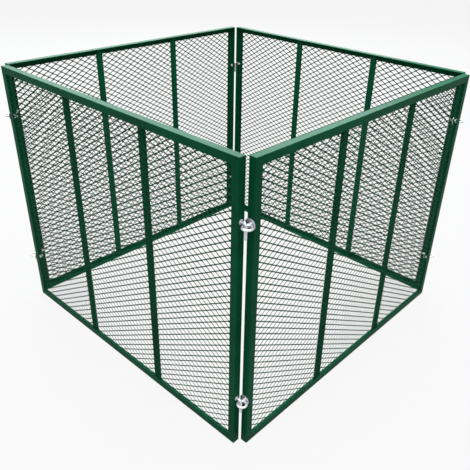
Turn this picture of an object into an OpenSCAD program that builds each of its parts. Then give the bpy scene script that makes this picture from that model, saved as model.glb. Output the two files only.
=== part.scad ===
// Leaf composter bin: four panels of expanded metal in angle iron frames, hooked together at the corners.
// The bin is open at the top and the bottom. The origin is on the ground, in the middle of the square.

/* [Bin] */
// Width and depth over the outer faces of the panels
bin_w = 1000; // [700:10:1300]
// Height of the panels
bin_h = 800; // [500:10:1100]

/* [Angle iron] */
// Width of both legs of the angle iron
leg_w = 20; // [18:1:30]
// Thickness of the angle iron
leg_t = 3; // [2:0.5:4]
// Distance from each end of a panel to the corner of the square inside
corner_gap = 4; // [3:0.5:6]

/* [Upright bars] */
// Width of an upright bar
bar_w = 20; // [12:1:40]
// Depth of an upright bar
bar_d = 10; // [6:0.5:11]
// Wall of the bar's tube
bar_wall = 1.5; // [1:0.25:2.5]

/* [Mesh] */
// Depth of the mesh over its tilted strands
mesh_t = 2.5; // [1.5:0.1:3]
// Length of one drawn diamond, about five diamonds of the real sheet
diamond_l = 150; // [110:5:220]
// Height of one drawn diamond, about five diamonds of the real sheet
diamond_h = 95; // [75:5:140]
// Width of the strands between the drawn diamonds
strand_w = 7; // [4:0.5:14]

/* [Hooks and eyes] */
// Diameter of the round steel that the hooks and eyes are made of
rod_d = 6; // [5:0.25:7]
// Height of the lower eyes above the ground, and depth of the upper ones below the rim
eye_h = 150; // [80:5:200]
// Distance of the eye bolts from the outer face of their panel
eye_inset = 11; // [10:0.25:13]
// Radius of an eye's ring, to the middle of the rod
eye_r = 11; // [10:0.25:12]
// Gap between an eye's ring and the hook's shank over it, the pin in it and the washer beside it
link_play = 0.4; // [0.3:0.1:0.8]
// Diameter of the collar between an eye's ring and its washer
collar_d = 9; // [8:0.25:12]
// Radius of the elbow between a hook's shank and its pin, to the middle of the rod
elbow_r = 5; // [4:0.5:7]
// Depth of a hook's tip below the middle of the eye
hook_drop = 32; // [20:1:60]
// Diameter of the flange that a hook bears on its post with
flange_d = 13; // [10:0.5:16]
// Thickness of that flange
flange_t = 1.6; // [1:0.1:2.4]

/* [Nuts and washers] */
// Size of the nuts across their flats
nut_w = 10; // [9:0.25:11]
// Height of the nuts
nut_h = 5; // [3:0.25:7]
// Length of thread that stands out of a nut
thread_out = 3; // [1:0.5:6]
// Radial play of the thread in a nut
thread_play = 0.05; // [0.02:0.01:0.1]
// Radial play of a bolt in the frame's hole and in the washers
hole_play = 0.3; // [0.2:0.05:0.5]
// Outside diameter of the wide washer under an eye
eye_washer_d = 28; // [20:1:30]
// Outside diameter of the washer under a hook's nut
hook_washer_d = 11; // [10:0.5:12]
// Thickness of the washers
washer_t = 1.6; // [1:0.1:2.4]
// Gap between a hook's washer and the outer leg beside it, and between the bolts and the mesh
fit_gap = 0.5; // [0.3:0.1:1.5]

/* [Hidden] */
$fn = 48;
SIDES = ["front", "right", "rear", "left"];
PIECES = ["top_rail", "bottom_rail", "left_post", "right_post", "left_bar", "right_bar", "mesh",
    "eye_bolts", "hook_bolts", "nuts", "eye_washers", "hook_washers"];

// Finishes
PAINT = [0.02, 0.27, 0.17];
MESH_PAINT = [0.02, 0.2, 0.13];
ZINC = [0.74, 0.76, 0.77];

// Sides of a hexagonal nut
nut_sides = 6;
// Bays that the two upright bars make in a panel
bays = 3;
// One overrun for every cut
cut = 1;

// A panel ends short of the corner of the square inside, so that the corner outside is an empty notch
panel_l = bin_w - 2 * (leg_w + corner_gap);
bar_x = panel_l / bays / 2;
// A hook bolt sits as close to the outer leg as its washer lets it
hook_inset = leg_t + hook_washer_d / 2 + fit_gap;

// The hinge axis of a corner lies on its diagonal, at one reach from the ends of both panels
link_reach = leg_w + corner_gap - hook_inset;
// Middle of the ring, which reaches back to the washer
ring_reach = washer_t + link_play + rod_d / 2 + eye_r;
eye_shift = eye_inset - hook_inset;
// It hangs outwards, so far that the pin nearly touches its inner edge
ring_shift = eye_shift + sqrt(pow(eye_r - rod_d - link_play, 2) - pow(ring_reach - link_reach, 2));
// Where the ring crosses the middle line of the eye bolt
ring_x = ring_reach - sqrt(pow(eye_r, 2) - pow(ring_shift, 2));
eye_zs = [eye_h, bin_h - eye_h];
// The hook's shank rests on the ring
hook_lift = rod_d + link_play;
// Depth of the middle of the hook's round tip below its shank
tip_depth = hook_lift + hook_drop - rod_d / 2;
// Lengths of the bolts inside a panel's end: the leg, the washer, the nut and the end of the thread
eye_thread_l = leg_t + nut_h + thread_out;
hook_thread_l = eye_thread_l + washer_t;

// The sheet ends beside the bolts, and its diamonds fill the window between the outer legs
sheet_inset = hook_thread_l + fit_gap;
sheet_l = panel_l - 2 * sheet_inset;
sheet_h = bin_h - 2 * sheet_inset;
window_l = panel_l - 2 * leg_w;
window_h = bin_h - 2 * leg_w;
mesh_cols = round(window_l / diamond_l);
mesh_rows = round(window_h / diamond_h);
half_l = window_l / mesh_cols / 2;
half_h = window_h / mesh_rows / 2;
// Share of a diamond that the strands round it leave open
open_share = 1 - strand_w / 2 * norm([half_l, half_h]) / (half_l * half_h);

// Outline of the opening round lattice point i, j, cut off where the window ends
function opening(i, j) =
    let (x = i * half_l - window_l / 2,
         z = j * half_h - window_h / 2,
         a = half_l * open_share,
         b = half_h * open_share,
         left = i > 0,
         right = i < 2 * mesh_cols,
         below = j > 0,
         above = j < 2 * mesh_rows)
    [
        if (left) [x - a, z],
        if (below) [x, z - b],
        if (right) [x + a, z],
        if (above) [x, z + b],
        if (left != right && below != above) [x, z]
    ];

// Turns a piece of the front panel round to side k of the square
module on_side(k) {
    rotate([0, 0, 90 * k]) children();
}

// Puts pieces at the two eye bolts of a panel's left end, with +X pointing away from the panel
module at_eyes() {
    for (z = eye_zs)
        translate([-panel_l / 2, eye_inset - bin_w / 2, z]) rotate([0, 0, 180]) children();
}

// Puts pieces at the two hook bolts of a panel's right end, with +X pointing away from the panel
module at_hooks() {
    for (z = eye_zs)
        translate([panel_l / 2, hook_inset - bin_w / 2, z + hook_lift]) children();
}

// A round bar along X from one place to another
module rod_x(from, to, d) {
    translate([from, 0, 0]) rotate([0, 90, 0]) cylinder(d = d, h = to - from);
}

// Angle iron along X, with its ridge on the X axis, one leg down and one leg to +Y, mitred at both ends
module angle_iron(l) {
    intersection() {
        rotate([90, 0, 90]) linear_extrude(l, center = true)
            polygon([[0, 0], [leg_w, 0], [leg_w, -leg_t], [leg_t, -leg_t], [leg_t, -leg_w], [0, -leg_w]]);
        translate([0, leg_w + cut, 0]) rotate([90, 0, 0]) linear_extrude(leg_w + 2 * cut)
            polygon([[-l / 2, 0], [l / 2, 0], [l / 2 - leg_w, -leg_w], [leg_w - l / 2, -leg_w]]);
    }
}

module top_rail() {
    color(PAINT) translate([0, -bin_w / 2, bin_h]) angle_iron(panel_l);
}

module bottom_rail() {
    color(PAINT) translate([0, -bin_w / 2, 0]) rotate([0, 180, 0]) angle_iron(panel_l);
}

// The hole that a bolt passes through in a post's end leg
module bolt_hole() {
    rod_x(-leg_t - cut, cut, rod_d + 2 * hole_play);
}

module left_post() {
    color(PAINT) difference() {
        translate([-panel_l / 2, -bin_w / 2, bin_h / 2]) rotate([0, -90, 0]) angle_iron(bin_h);
        at_eyes() bolt_hole();
    }
}

module right_post() {
    color(PAINT) difference() {
        translate([panel_l / 2, -bin_w / 2, bin_h / 2]) rotate([0, 90, 0]) angle_iron(bin_h);
        at_hooks() bolt_hole();
    }
}

// A flat tube that stands between the rails, against the inside of the mesh
module bar(x) {
    color(PAINT) translate([x - bar_w / 2, leg_t + mesh_t - bin_w / 2, leg_t])
        linear_extrude(bin_h - 2 * leg_t) difference() {
            square([bar_w, bar_d]);
            translate([bar_wall, bar_wall]) square([bar_w - 2 * bar_wall, bar_d - 2 * bar_wall]);
        }
}

module left_bar() {
    bar(-bar_x);
}

module right_bar() {
    bar(bar_x);
}

// The sheet lies against the inside of the outer legs
module mesh() {
    color(MESH_PAINT) translate([0, leg_t + mesh_t - bin_w / 2, bin_h / 2])
        rotate([90, 0, 0]) linear_extrude(mesh_t) difference() {
            square([sheet_l, sheet_h], center = true);
            for (i = [0 : 2 * mesh_cols]) for (j = [0 : 2 * mesh_rows])
                if ((i + j) % 2 == 0) polygon(opening(i, j));
        }
}

// A level ring, joined by a collar to the shank that holds it
module eye_bolts() {
    color(ZINC) at_eyes() {
        rod_x(-eye_thread_l, washer_t, rod_d);
        rod_x(washer_t, ring_x, collar_d);
        translate([ring_reach, ring_shift, 0]) rotate_extrude() translate([eye_r, 0]) circle(d = rod_d);
    }
}

// The shank leaves the panel over the ring of the next one and turns down through it as a pin
module hook_bolts() {
    color(ZINC) at_hooks() {
        rod_x(-hook_thread_l, link_reach - elbow_r, rod_d);
        rod_x(0, flange_t, flange_d);
        translate([link_reach - elbow_r, 0, -elbow_r]) rotate([90, 0, 0])
            rotate_extrude(angle = 90) translate([elbow_r, 0]) circle(d = rod_d);
        translate([link_reach, 0, -tip_depth]) cylinder(d = rod_d, h = tip_depth - elbow_r);
        translate([link_reach, 0, -tip_depth]) sphere(d = rod_d);
    }
}

// One hexagonal nut, its face at X = 0, with two of its flats level with the panel
module nut() {
    difference() {
        translate([-nut_h, 0, 0]) rotate([0, 90, 0]) rotate([0, 0, 90 + 180 / nut_sides])
            cylinder(d = nut_w / cos(180 / nut_sides), h = nut_h, $fn = nut_sides);
        rod_x(-nut_h - cut, cut, rod_d + 2 * thread_play);
    }
}

module nuts() {
    color(ZINC) {
        at_eyes() translate([-leg_t, 0, 0]) nut();
        at_hooks() translate([-leg_t - washer_t, 0, 0]) nut();
    }
}

// A flat washer from X = 0 on
module washer(d) {
    difference() {
        rod_x(0, washer_t, d);
        rod_x(-cut, washer_t + cut, rod_d + 2 * hole_play);
    }
}

// The wide washers lie outside the end leg, between it and the eyes
module eye_washers() {
    color(ZINC) at_eyes() washer(eye_washer_d);
}

// The small washers lie inside the end leg, under the nuts
module hook_washers() {
    color(ZINC) at_hooks() translate([-leg_t - washer_t, 0, 0]) washer(hook_washer_d);
}

for (k = [0 : len(SIDES) - 1]) {
    on_side(k) top_rail();
    on_side(k) bottom_rail();
    on_side(k) left_post();
    on_side(k) right_post();
    on_side(k) left_bar();
    on_side(k) right_bar();
    on_side(k) mesh();
    on_side(k) eye_bolts();
    on_side(k) hook_bolts();
    on_side(k) nuts();
    on_side(k) eye_washers();
    on_side(k) hook_washers();
}
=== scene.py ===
"""Leaf composter bin: four panels of expanded metal in green angle iron frames, hooked together at
the corners."""

import math

import bpy
import numpy as np
from mathutils import Matrix, Vector


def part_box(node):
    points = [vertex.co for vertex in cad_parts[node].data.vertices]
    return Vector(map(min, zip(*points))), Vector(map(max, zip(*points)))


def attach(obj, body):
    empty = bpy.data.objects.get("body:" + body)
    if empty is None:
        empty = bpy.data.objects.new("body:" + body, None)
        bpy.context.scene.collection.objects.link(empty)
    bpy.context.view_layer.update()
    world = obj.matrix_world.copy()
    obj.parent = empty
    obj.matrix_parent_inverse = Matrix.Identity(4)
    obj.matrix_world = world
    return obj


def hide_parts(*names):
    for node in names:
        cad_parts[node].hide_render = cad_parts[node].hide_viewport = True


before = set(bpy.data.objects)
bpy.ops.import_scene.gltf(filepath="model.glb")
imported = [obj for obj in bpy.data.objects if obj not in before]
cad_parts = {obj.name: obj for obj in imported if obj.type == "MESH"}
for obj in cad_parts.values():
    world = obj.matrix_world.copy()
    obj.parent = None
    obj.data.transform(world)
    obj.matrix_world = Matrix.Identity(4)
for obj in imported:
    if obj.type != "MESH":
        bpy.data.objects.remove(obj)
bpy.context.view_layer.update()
scene = bpy.context.scene
scene.view_settings.view_transform = "Standard"

MM = 0.001
SIDES = ("front", "right", "rear", "left")

# Angle iron: legs, and the radii of its ridge, its toes and its inner corner
LEG_W, LEG_T = 20 * MM, 3 * MM
RIDGE_R, TOE_R, ROOT_R = 1.2 * MM, 0.8 * MM, 0.4 * MM
# The groove that a mitred corner keeps after welding and grinding
SEAM_W, SEAM_DEEP = 0.5 * MM, 0.25 * MM
# Flat tube: radius of its corners
TUBE_R = 1.8 * MM

# Expanded metal: pitch of the diamonds, length of the bonds between them, section and tilt of the
# ribbons
DIAMOND_L, DIAMOND_H, BOND_L = 30 * MM, 18 * MM, 3 * MM
RIBBON_W, RIBBON_T, RIBBON_TILT = 3.1 * MM, 1.2 * MM, math.radians(22)
# The side that the tops of a sheet's ribbons lean to: 1 is out of the bin, and -1 is the same sheet
# welded in upside down
SHEET_LEAN = {"front": 1, "right": -1, "rear": -1, "left": 1}

# Hooks and eyes, each in its bolt's own frame: X points out of the panel's end, which is at 0
EYE_INSET, HOOK_INSET, HOOK_LIFT = 11 * MM, 9 * MM, 6.4 * MM
EYE_HEIGHTS = (150 * MM, 650 * MM)
ROD_R, HOOK_REACH, ELBOW_R, TIP_DEPTH = 3 * MM, 15 * MM, 5 * MM, 35.4 * MM
RING_R, RING_REACH, RING_SHIFT, RING_X = 11 * MM, 16 * MM, 6.49 * MM, 7.118 * MM
COLLAR_R, FLANGE_R, FLANGE_T = 4.5 * MM, 6.5 * MM, 1.6 * MM
EYE_THREAD, HOOK_THREAD = 11 * MM, 12.6 * MM
THREAD_PITCH, THREAD_DEEP = 1 * MM, 0.45 * MM
# The pitches over which a thread runs out, and those that are left plain after it
RUNOUT, PLAIN = 2, 1
# Nuts: the faces keep a share of the width, and the chamfer slopes back from there
NUT_W, NUT_H, NUT_BORE_R = 10 * MM, 5 * MM, 3.05 * MM
NUT_FACE, NUT_CHAMFER = 0.95, math.radians(30)
WASHER_T, WASHER_HOLE_R, WIDE_WASHER_R, SMALL_WASHER_R = 1.6 * MM, 3.3 * MM, 14 * MM, 5.5 * MM
# Small edges that are broken all round
BROKEN = 0.3 * MM

# Fineness: corners of a round section, points of a rounded corner, and stations of a thread's
# pitch, of an elbow and of a pin's tip
ROUND, CORNER_STEPS, PITCH_STEPS, ELBOW_STEPS, TIP_STEPS = 24, 5, 8, 10, 7
# The last station of a tip, just before the pole of its ball
TIP_END = 0.49 * math.pi
# Edges of a smooth piece stay sharp from this angle on
SHARP = math.radians(35)

# Finishes: colour and roughness of the paints, and the colours of the zinc
FRAME_GREEN, FRAME_ROUGHNESS = (0.003, 0.078, 0.035), 0.4
# The mesh has the same powder coat as the frame; its green is made a little darker as painted shade
# for the ribbons shading one another
SHADED_MESH_GREEN, MESH_ROUGHNESS = (0.005, 0.062, 0.032), 0.45
ZINC_DARK, ZINC_LIGHT = (0.52, 0.53, 0.56), (0.74, 0.75, 0.79)
# Paint: how far its shade goes up and down, the shares that slow drifts and dull patches have in
# that, how much rougher the dullest patches are than the others, and its weak gloss
SHADE_LOW, SHADE_HIGH, DRIFT_SHARE, DULL_SHARE = 0.82, 1.18, 0.6, 0.4
DULL_SPREAD, PAINT_GLOSS = 0.14, 0.025
# Zinc: its roughness, and how much its clouds add to that
ZINC_ROUGHNESS, CLOUD_SPREAD = 0.28, 0.25

# Camera: place, turn from +Y towards +X, tilt down and roll, and its lens in pixels of the photo
CAMERA_PLACE = Vector((-1.24548, -1.17704, 1.21745))
CAMERA_TURN, CAMERA_TILT, CAMERA_ROLL = 0.83938, 0.52118, 0.03264
IMAGE_PX, FOCAL_PX, MIDDLE_PX = 470, 570.814, (249.137, 234.861)
SENSOR_MM, CLIP_NEAR, CLIP_FAR = 36, 0.05, 200

# Floor: half its width, its depth under the bin, its grey, and the share of it that shows as white
FLOOR_HALF, FLOOR_DROP, FLOOR_GREY, FLOOR_WHITE = 60, 0.2 * MM, 0.3, 0.9
# Surrounding: how white it shows, and how much light it gives
SHOWN_WHITE, GIVEN_LIGHT = 0.905, 0.15
WHITE = (1, 1, 1, 1)
# Lights: place, the point that each faces, size, watts and tint
LIGHTS = {
    "top_light": ((-0.3, -0.3, 5.0), (0, 0, 0.8), (6.0, 6.0), 460, (1, 1, 1)),
    "back_light": ((2.62, 2.98, 3.3), (0, 0, 0.7), (4.4, 3.2), 430, (0.92, 1.0, 1.05)),
    "front_fill": ((-3.4, -3.0, 2.6), (0, 0, 0.4), (3.5, 3.0), 35, (1, 1, 1)),
}


# Camera

def set_camera():
    """Stands the camera at its place: turned from +Y towards +X, tilted down, then rolled about its
    own line of sight."""
    ahead = Vector((math.sin(CAMERA_TURN) * math.cos(CAMERA_TILT),
                    math.cos(CAMERA_TURN) * math.cos(CAMERA_TILT), -math.sin(CAMERA_TILT)))
    level = Vector((math.cos(CAMERA_TURN), -math.sin(CAMERA_TURN), 0))
    upright = level.cross(ahead)
    right = level * math.cos(CAMERA_ROLL) + upright * math.sin(CAMERA_ROLL)
    up = upright * math.cos(CAMERA_ROLL) - level * math.sin(CAMERA_ROLL)
    lens = bpy.data.cameras.new("camera")
    lens.sensor_width = SENSOR_MM
    lens.lens = SENSOR_MM * FOCAL_PX / IMAGE_PX
    lens.shift_x = 0.5 - MIDDLE_PX[0] / IMAGE_PX
    lens.shift_y = MIDDLE_PX[1] / IMAGE_PX - 0.5
    lens.clip_start, lens.clip_end = CLIP_NEAR, CLIP_FAR
    camera = bpy.data.objects.new("camera", lens)
    turned = Matrix((right, up, -ahead)).transposed().to_4x4()
    camera.matrix_world = Matrix.Translation(CAMERA_PLACE) @ turned
    scene.collection.objects.link(camera)
    scene.camera = camera


# Shader nodes

class Value:
    """A number or colour that a node gives out. An operator on it adds a Math node, and | takes the
    larger of two."""

    def __init__(self, nodes, socket):
        self.nodes, self.socket = nodes, socket

    def combine(self, operation, other):
        return self.nodes.add("ShaderNodeMath", {"operation": operation}, {0: self, 1: other})

    def __add__(self, other):
        return self.combine("ADD", other)

    def __mul__(self, other):
        return self.combine("MULTIPLY", other)

    def __or__(self, other):
        return self.combine("MAXIMUM", other)

    __radd__, __rmul__, __ror__ = __add__, __mul__, __or__


class Nodes:
    """A node tree that is filled one node at a time."""

    def __init__(self, owner):
        owner.use_nodes = True
        self.owner, self.tree = owner, owner.node_tree
        self.tree.nodes.clear()

    def add(self, kind, settings=(), sockets=(), out=0):
        """Adds a node: its settings are set first, then each socket gets its value or its link."""
        node = self.tree.nodes.new(kind)
        for name, value in dict(settings).items():
            setattr(node, name, value)
        for name, value in dict(sockets).items():
            if isinstance(value, Value):
                self.tree.links.new(value.socket, node.inputs[name])
            else:
                node.inputs[name].default_value = value
        return Value(self, node.outputs[out]) if node.outputs else node

    def noise(self, scale, detail, roughness=0.5):
        """Soft random spots, about one for each metre divided by scale."""
        place = self.add("ShaderNodeTexCoord", out="Object")
        return self.add("ShaderNodeTexNoise", {}, {
            "Vector": place, "Scale": scale, "Detail": detail, "Roughness": roughness})

    def blend(self, share, first, second):
        """A colour between two others."""
        return self.add("ShaderNodeMix", {"data_type": "RGBA"}, {0: share, 6: first, 7: second},
                        out=2)

    def ramp(self, share, low, high):
        """0 up to a low value, 1 from a high value on, and even in between."""
        return self.add("ShaderNodeMapRange", {}, {
            "Value": share, "From Min": low, "From Max": high})

    def bump(self, height, strength, distance):
        """Normals of a skin that stands up by a height."""
        return self.add("ShaderNodeBump", {}, {
            "Strength": strength, "Distance": distance, "Height": height})


def shade(colour, factor=1.0):
    """A colour made darker or lighter, with full alpha."""
    return (*(channel * factor for channel in colour), 1.0)


def green_paint(name, colour, roughness):
    """Satin powder coat: slow drifts of shade, patches that are a little lighter and duller, and a
    fine orange peel."""
    nodes = Nodes(bpy.data.materials.new(name))
    drift = nodes.noise(scale=7, detail=3)
    dull = nodes.noise(scale=45, detail=4, roughness=0.6)
    peel = nodes.noise(scale=700, detail=1)
    lightness = nodes.ramp(drift * DRIFT_SHARE + dull * DULL_SHARE, low=0.36, high=0.64)
    tone = nodes.blend(lightness, shade(colour, SHADE_LOW), shade(colour, SHADE_HIGH))
    skin = nodes.bump(peel, strength=0.2, distance=0.2 * MM)
    coat = nodes.add("ShaderNodeBsdfPrincipled", {}, {
        "Base Color": tone, "Roughness": roughness - DULL_SPREAD / 2 + dull * DULL_SPREAD,
        "Specular IOR Level": PAINT_GLOSS, "Normal": skin})
    nodes.add("ShaderNodeOutputMaterial", {}, {"Surface": coat})
    return nodes.owner


def zinc_plate(name):
    """Bright zinc: grey metal with cloudy patches, the lighter ones a little rougher, and a fine
    grain."""
    nodes = Nodes(bpy.data.materials.new(name))
    cloud = nodes.noise(scale=160, detail=4, roughness=0.65)
    grain = nodes.noise(scale=1500, detail=2)
    lightness = nodes.ramp(cloud, low=0.35, high=0.65)
    tone = nodes.blend(lightness, shade(ZINC_DARK), shade(ZINC_LIGHT))
    skin = nodes.bump(grain, strength=0.25, distance=0.1 * MM)
    plate = nodes.add("ShaderNodeBsdfPrincipled", {}, {
        "Base Color": tone, "Metallic": 1.0, "Roughness": ZINC_ROUGHNESS + cloud * CLOUD_SPREAD,
        "Normal": skin})
    nodes.add("ShaderNodeOutputMaterial", {}, {"Surface": plate})
    return nodes.owner


# Surfaces

def surface(rings, closed=False):
    """Points and faces of tubes, from an array tube x station x corner of points. The corners run
    anticlockwise seen from the last station. A closed tube runs back into its first station. Any
    other is capped at both ends, with a strip of faces between the two halves of its outline."""
    tubes, stations, corners = rings.shape[:3]
    number = np.arange(tubes * stations * corners).reshape(tubes, stations, corners)
    beside = np.roll(number, -1, axis=2)
    sides = np.stack([number, beside, np.roll(beside, -1, axis=1), np.roll(number, -1, axis=1)],
                     axis=-1)
    quads = [sides if closed else sides[:, :-1]]
    if not closed:
        one, other = number[..., :corners // 2], number[..., :corners // 2 - 1:-1]
        strip = np.stack([one[..., :-1], one[..., 1:], other[..., 1:], other[..., :-1]], axis=-1)
        quads += [strip[:, 0, :, ::-1], strip[:, -1]]
    return rings.reshape(-1, 3), np.concatenate([part.reshape(-1, 4) for part in quads])


def joined(*surfaces):
    """Points and faces of several surfaces as one."""
    starts = np.cumsum([0] + [len(points) for points, quads in surfaces[:-1]])
    return (np.concatenate([points for points, quads in surfaces]),
            np.concatenate([quads + start for start, (points, quads) in zip(starts, surfaces)]))


def mesh_piece(name, points, quads, finish, smooth=False):
    """A mesh object from an array of points and an array of four point numbers for each face."""
    mesh = bpy.data.meshes.new(name)
    mesh.vertices.add(len(points))
    mesh.vertices.foreach_set("co", points.astype(np.float32).ravel())
    mesh.loops.add(quads.size)
    mesh.loops.foreach_set("vertex_index", quads.astype(np.int32).ravel())
    mesh.polygons.add(len(quads))
    mesh.polygons.foreach_set("loop_start", np.arange(0, quads.size, 4, dtype=np.int32))
    mesh.update(calc_edges=True)
    mesh.validate()
    mesh.materials.append(finish)
    if smooth:
        mesh.shade_smooth()
        mesh.set_sharp_from_angle(angle=SHARP)
    else:
        mesh.shade_flat()
    piece = bpy.data.objects.new(name, mesh)
    scene.collection.objects.link(piece)
    return piece


def to_side(points, side):
    """Points of the front panel, turned about the vertical to one of the four sides."""
    turn = math.pi / 2 * SIDES.index(side)
    matrix = np.array([[math.cos(turn), -math.sin(turn), 0], [math.sin(turn), math.cos(turn), 0],
                       [0, 0, 1]])
    return points @ matrix.T


# Frame and sheet of the front panel

def rounded_outline(corners, radii):
    """Points of an anticlockwise outline with square corners, each rounded by a quarter circle that
    starts one radius before the corner and ends one radius after it, and the direction out of the
    outline at each point."""
    corners, radius = np.array(corners), np.array(radii)[:, None, None]
    onward = np.roll(corners, -1, axis=0) - corners
    onward = (onward / np.linalg.norm(onward, axis=1, keepdims=True))[:, None]
    arriving = np.roll(onward, 1, axis=0)
    angle = np.linspace(0, math.pi / 2, CORNER_STEPS)[:, None]
    spoke = arriving * np.sin(angle) - onward * np.cos(angle)
    points = corners[:, None] + radius * (onward - arriving + spoke)
    bend = np.sign(arriving[..., 0] * onward[..., 1] - arriving[..., 1] * onward[..., 0])
    return points.reshape(-1, 2), (spoke * bend[..., None]).reshape(-1, 2)


def angle_iron(along, inward, middle, length):
    """One side of the frame: the outline of the angle carried along a line. The first coordinate of
    the outline points into the bin and the second to the middle of the panel, and each point of it
    ends that much before the end of the line, which is the mitre. At the mitres the outline draws
    in a little, which leaves the groove of the seam."""
    outline, outward = rounded_outline(
        [(0, LEG_W), (0, 0), (LEG_W, 0), (LEG_W, LEG_T), (LEG_T, LEG_T), (LEG_T, LEG_W)],
        [TOE_R, RIDGE_R, TOE_R, TOE_R, ROOT_R, TOE_R])
    drawn_in = np.array([SEAM_DEEP, 0, 0, SEAM_DEEP])[:, None, None]
    section = outline - drawn_in * outward
    before_end = np.array([0, SEAM_W, SEAM_W, 0])[:, None]
    run = np.array([-1, -1, 1, 1])[:, None] * (length / 2 - section[..., 1] - before_end)
    rings = (np.array(middle) + run[..., None] * np.array(along)
             + section[..., 1:] * np.array(inward) + section[..., :1] * np.array((0, 1, 0)))
    return surface(rings[None])


def frame_sides():
    """The four angle irons of the front panel. Their lines run round the panel, anticlockwise seen
    from outside."""
    low, high = (np.array(corner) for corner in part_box("front_bottom_rail"))
    wide, face, top = high[0] - low[0], low[1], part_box("front_top_rail")[1][2]
    return {
        "bottom_rail": angle_iron((1, 0, 0), (0, 0, 1), (0, face, 0), wide),
        "right_post": angle_iron((0, 0, 1), (-1, 0, 0), (wide / 2, face, top / 2), top),
        "top_rail": angle_iron((-1, 0, 0), (0, 0, -1), (0, face, top), wide),
        "left_post": angle_iron((0, 0, -1), (1, 0, 0), (-wide / 2, face, top / 2), top),
    }


def flat_tube(node):
    """An upright bar: a rectangle with round corners, carried straight up."""
    low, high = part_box(node)
    corners = [low[:2], (high[0], low[1]), high[:2], (low[0], high[1])]
    outline, _ = rounded_outline(corners, [TUBE_R] * len(corners))
    rings = np.stack([np.insert(outline, 2, height, axis=1) for height in (low[2], high[2])])
    return surface(rings[None])


def expanded_metal(lean_out):
    """A sheet in the front panel, made of flat ribbons that run along it one above the other.

    The middle of a ribbon follows a triangle wave whose tips are cut flat over the length of a
    bond. Every second ribbon is half a wave ahead, so that each flat tip meets the next ribbon edge
    to edge and the two make a bond. A ribbon's section is a rectangle that leans to one side at the
    top, and at a bond both ribbons lie in the same leaning plane."""
    low, high = (np.array(corner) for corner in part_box("front_mesh"))
    middle = (low + high) / 2
    half_l, row_h = DIAMOND_L / 2, DIAMOND_H / 2
    rows = int((high[2] - low[2]) / row_h)
    bonds = half_l * np.arange(-int(high[0] / half_l), int(high[0] / half_l) + 1)
    bond_ends = np.stack([bonds - BOND_L / 2, bonds + BOND_L / 2], axis=1).ravel()
    x = np.concatenate([low[:1], bond_ends, high[:1]])
    ribbon = np.arange(rows)[:, None]
    wave_share = x[None, :] / DIAMOND_L + ribbon / 2
    triangle = 1 - 4 * np.abs(wave_share - np.round(wave_share))
    swing = np.clip(triangle * half_l / (half_l - BOND_L), -1, 1)
    tilt = RIBBON_TILT * lean_out
    lean = np.array([0, -math.sin(tilt), math.cos(tilt)])
    outward = np.array([0, -math.cos(tilt), -math.sin(tilt)])
    tip = np.array([0, 0, row_h / 2]) - lean * RIBBON_W / 2
    line = swing[..., None] * tip + middle
    line[..., 0] = x
    line[..., 2] += (ribbon - (rows - 1) / 2) * row_h
    corner = np.array([[-1, -1], [1, -1], [1, 1], [-1, 1]]) / 2
    section = corner[:, :1] * RIBBON_W * lean + corner[:, 1:] * RIBBON_T * outward
    return surface(line[:, :, None, :] + section)


# Hooks, eyes, nuts and washers of the front panel

def at_eyes(rings):
    """Rings of an eye's own frame, at both eyes on the panel's left end. There X points to the
    left."""
    end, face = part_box("front_left_post")[0][:2]
    places = np.array([(end, face + EYE_INSET, height) for height in EYE_HEIGHTS])
    return rings * np.array((-1, -1, 1)) + places[:, None, None, :]


def at_hooks(rings):
    """Rings of a hook's own frame, at both hooks on the panel's right end."""
    end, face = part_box("front_right_post")[1][0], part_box("front_right_post")[0][1]
    places = np.array([(end, face + HOOK_INSET, height + HOOK_LIFT) for height in EYE_HEIGHTS])
    return rings + places[:, None, None, :]


def corner_angles(count=ROUND):
    """Angles of the corners of a round section."""
    return np.linspace(0, 2 * math.pi, count, endpoint=False)


def same_all_round(radii):
    """Radii of stations that are the same at every corner."""
    return np.repeat(np.array(radii)[:, None], ROUND, axis=1)


def thread(length):
    """Places along X and radii, for each corner, of a threaded end. The radius falls from the rod's
    to the root of the thread and back once for each pitch, and the wave moves on by one pitch for
    each turn. The first pitch is tapered, and the thread runs out before the end leg's face."""
    x = np.linspace(-length, -BROKEN, int(length / THREAD_PITCH) * PITCH_STEPS)[:, None]
    turns = x / THREAD_PITCH - corner_angles() / (2 * math.pi)
    groove = 1 - np.abs(2 * (turns % 1) - 1)
    taper = np.clip((x + length) / THREAD_PITCH, 0, 1)
    runout = np.clip((-x / THREAD_PITCH - PLAIN) / RUNOUT, 0, 1)
    return x[:, 0], ROD_R - THREAD_DEEP * np.maximum(groove * runout, 1 - taper)


def rod(x, z, slope, radii):
    """Rings of a round bar along a line in the XZ plane, with a radius for each corner of each
    station. The corners lie round the line, at right angles to its slope."""
    angle = corner_angles()[:, None]
    across = np.stack([-np.sin(slope), np.zeros(len(x)), np.cos(slope)], axis=1)[:, None]
    spoke = np.cos(angle) * np.array((0, 1, 0)) + np.sin(angle) * across
    return np.stack([x, np.zeros(len(x)), z], axis=1)[:, None] + radii[..., None] * spoke


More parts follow.
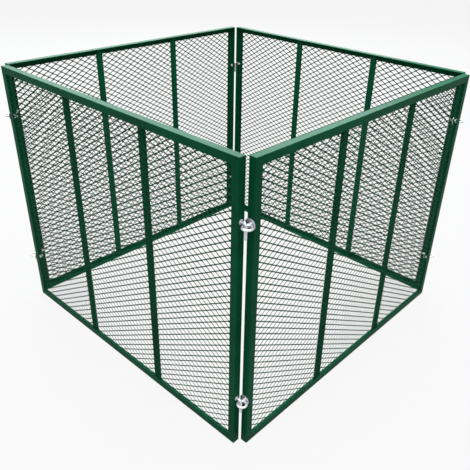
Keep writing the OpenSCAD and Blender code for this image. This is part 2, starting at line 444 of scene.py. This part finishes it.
def threaded_eyes():
    """Two eyes: a threaded shank with a collar, and a level ring, which is a circle carried round a
    circle."""
    x, radii = thread(EYE_THREAD)
    x = np.concatenate([x, [WASHER_T, WASHER_T, WASHER_T + BROKEN, RING_X - BROKEN, RING_X]])
    collar = same_all_round([ROD_R, COLLAR_R - BROKEN, COLLAR_R, COLLAR_R, COLLAR_R - BROKEN])
    shank = rod(x, np.zeros(len(x)), np.zeros(len(x)), np.concatenate([radii, collar]))
    turn = corner_angles(2 * ROUND) + math.pi / (2 * ROUND)
    spoke = np.stack([np.cos(turn), np.sin(turn), np.zeros(len(turn))], axis=1)[:, None]
    angle = corner_angles()[:, None] + math.pi / ROUND
    ring = (np.array((RING_REACH, RING_SHIFT, 0)) + RING_R * spoke
            + ROD_R * (np.cos(angle) * spoke - np.sin(angle) * np.array((0, 0, 1))))
    return joined(surface(at_eyes(shank)), surface(at_eyes(ring), closed=True))


def threaded_hooks():
    """Two hooks: a threaded shank with a flange, a quarter circle down, and a straight pin that
    ends in half a ball."""
    x, radii = thread(HOOK_THREAD)
    flange = np.array([
        (0, ROD_R), (0, FLANGE_R - BROKEN), (BROKEN, FLANGE_R), (FLANGE_T - BROKEN, FLANGE_R),
        (FLANGE_T, FLANGE_R - BROKEN), (FLANGE_T, ROD_R)])
    bend, ball = np.linspace(0, math.pi / 2, ELBOW_STEPS), np.linspace(0, TIP_END, TIP_STEPS)
    level = np.zeros(len(x) + len(flange))
    x = np.concatenate([x, flange[:, 0], HOOK_REACH - ELBOW_R + ELBOW_R * np.sin(bend),
                        np.full(len(ball), HOOK_REACH)])
    z = np.concatenate([level, ELBOW_R * (np.cos(bend) - 1), -TIP_DEPTH - ROD_R * np.sin(ball)])
    slope = np.concatenate([level, -bend, np.full(len(ball), -math.pi / 2)])
    plain = same_all_round(
        np.concatenate([flange[:, 1], np.full(len(bend), ROD_R), ROD_R * np.cos(ball)]))
    return surface(at_hooks(rod(x, z, slope, np.concatenate([radii, plain]))))


def lathe(places, radii):
    """Rings of a shape round the X axis. Its outline, which closes on itself, has a place along X
    and a radius for each corner of each station."""
    angle = corner_angles(radii.shape[1])
    return np.stack([places, radii * np.cos(angle), radii * np.sin(angle)], axis=-1)


def nut(back):
    """A hexagon nut from one place on. Seen along X, a corner's radius is half the width over the
    cosine of its angle from the middle of its flat. Both faces are chamfered, so that the flats end
    in arcs."""
    angle, half_flat = corner_angles(2 * ROUND), math.pi / 6
    flats = NUT_W / 2 / np.cos((angle + half_flat) % (2 * half_flat) - half_flat)
    bore, face = np.full(len(angle), NUT_BORE_R), np.full(len(angle), NUT_FACE * NUT_W / 2)
    near, far = np.zeros(len(angle)), np.full(len(angle), NUT_H)
    cut = (flats - face) * math.tan(NUT_CHAMFER)
    places = np.stack([near + BROKEN, near, near, near + cut, far - cut, far, far, far - BROKEN])
    radii = np.stack([bore, bore + BROKEN, face, flats, flats, face, bore + BROKEN, bore])
    return lathe(places + back, radii)


def hexagon_nuts():
    """The nuts behind the end legs, and behind the washers of the hooks."""
    return joined(surface(at_eyes(nut(-LEG_T - NUT_H)), closed=True),
                  surface(at_hooks(nut(-LEG_T - WASHER_T - NUT_H)), closed=True))


def washer(back, rim_r):
    """A flat ring from one place on, with its rim broken on both sides."""
    outline = np.array([
        (0, WASHER_HOLE_R), (0, rim_r - BROKEN), (BROKEN, rim_r), (WASHER_T - BROKEN, rim_r),
        (WASHER_T, rim_r - BROKEN), (WASHER_T, WASHER_HOLE_R)])
    corners = np.ones(2 * ROUND)
    return lathe(outline[:, :1] * corners + back, outline[:, 1:] * corners)


def wide_washers():
    """The washers between the end leg and the eyes."""
    return surface(at_eyes(washer(0, WIDE_WASHER_R)), closed=True)


def small_washers():
    """The washers behind the end leg, under the nuts of the hooks."""
    return surface(at_hooks(washer(-LEG_T - WASHER_T, SMALL_WASHER_R)), closed=True)


# Stage

def shown_rays(nodes):
    """1 for rays that show the surrounding: those of the camera, and those seen in gloss or through
    something."""
    camera, gloss, through = (nodes.add("ShaderNodeLightPath", out=name) for name in
                              ("Is Camera Ray", "Is Glossy Ray", "Is Transmission Ray"))
    return camera | gloss | through


def soft_light(name, place, aim, size, watts, tint):
    """A rectangular light that faces a point and isn't seen itself."""
    light = bpy.data.lights.new(name, "AREA")
    light.shape, light.size, light.size_y, light.energy = "RECTANGLE", *size, watts
    light.color = tint
    lamp = bpy.data.objects.new(name, light)
    lamp.location = place
    lamp.rotation_euler = (Vector(aim) - Vector(place)).to_track_quat("-Z", "Y").to_euler()
    lamp.visible_camera = False
    scene.collection.objects.link(lamp)


def studio():
    """A pale floor that shows white and keeps the shadow, a white surrounding, broad lights above
    and behind, and a soft fill in front."""
    corners = FLOOR_HALF * np.array([[-1, -1, 0], [1, -1, 0], [1, 1, 0], [-1, 1, 0]])
    nodes = Nodes(bpy.data.materials.new("floor"))
    seen = shown_rays(nodes)
    ground = nodes.add("ShaderNodeBsdfDiffuse", {}, {"Color": (*[FLOOR_GREY] * 3, 1)})
    white = nodes.add("ShaderNodeEmission", {}, {"Color": WHITE, "Strength": 1.0})
    nodes.add("ShaderNodeOutputMaterial", {}, {"Surface": nodes.add(
        "ShaderNodeMixShader", {}, {0: seen * FLOOR_WHITE, 1: ground, 2: white})})
    floor = mesh_piece("floor", corners - np.array([0, 0, FLOOR_DROP]), np.array([[0, 1, 2, 3]]),
                       nodes.owner)

    world = bpy.data.worlds.new("surrounding")
    scene.world = world
    nodes = Nodes(world)
    seen = shown_rays(nodes)
    around = nodes.add("ShaderNodeBackground", {}, {"Color": WHITE, "Strength": GIVEN_LIGHT})
    white = nodes.add("ShaderNodeBackground", {}, {"Color": WHITE, "Strength": SHOWN_WHITE})
    nodes.add("ShaderNodeOutputWorld", {}, {"Surface": nodes.add(
        "ShaderNodeMixShader", {}, {0: seen, 1: around, 2: white})})

    for name, settings in LIGHTS.items():
        soft_light(name, *settings)


set_camera()
studio()

# A look is a finish, the material slot that it stands for, and whether the faces are smooth
painted = (green_paint("frame_green", FRAME_GREEN, FRAME_ROUGHNESS), "green_paint", False)
# The mesh's green is the frame's coat with painted shade: darker for the ribbons' own shadowing
painted_mesh = (green_paint("shaded_mesh_green", SHADED_MESH_GREEN, MESH_ROUGHNESS), "mesh_paint", False)
plated = (zinc_plate("bright_zinc"), "zinc_plate", True)

# The pieces that all panels have alike: the CAD piece that each stands for, its surface and look
irons = frame_sides()
panel_pieces = {
    "top_iron": ("top_rail", irons["top_rail"], painted),
    "bottom_iron": ("bottom_rail", irons["bottom_rail"], painted),
    "left_iron": ("left_post", irons["left_post"], painted),
    "right_iron": ("right_post", irons["right_post"], painted),
    "left_flat_tube": ("left_bar", flat_tube("front_left_bar"), painted),
    "right_flat_tube": ("right_bar", flat_tube("front_right_bar"), painted),
    "threaded_eyes": ("eye_bolts", threaded_eyes(), plated),
    "threaded_hooks": ("hook_bolts", threaded_hooks(), plated),
    "hexagon_nuts": ("nuts", hexagon_nuts(), plated),
    "wide_washers": ("eye_washers", wide_washers(), plated),
    "small_washers": ("hook_washers", small_washers(), plated),
}
for side in SIDES:
    sheet = ("mesh", expanded_metal(SHEET_LEAN[side]), painted_mesh)
    pieces = {**panel_pieces, "expanded_metal": sheet}
    for name, (node, (points, quads), (finish, slot, smooth)) in pieces.items():
        piece = mesh_piece(f"{side}_{name}", to_side(points, side), quads, finish, smooth)
        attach(piece, f"{side}_panel")
        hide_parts(f"{side}_{node}")
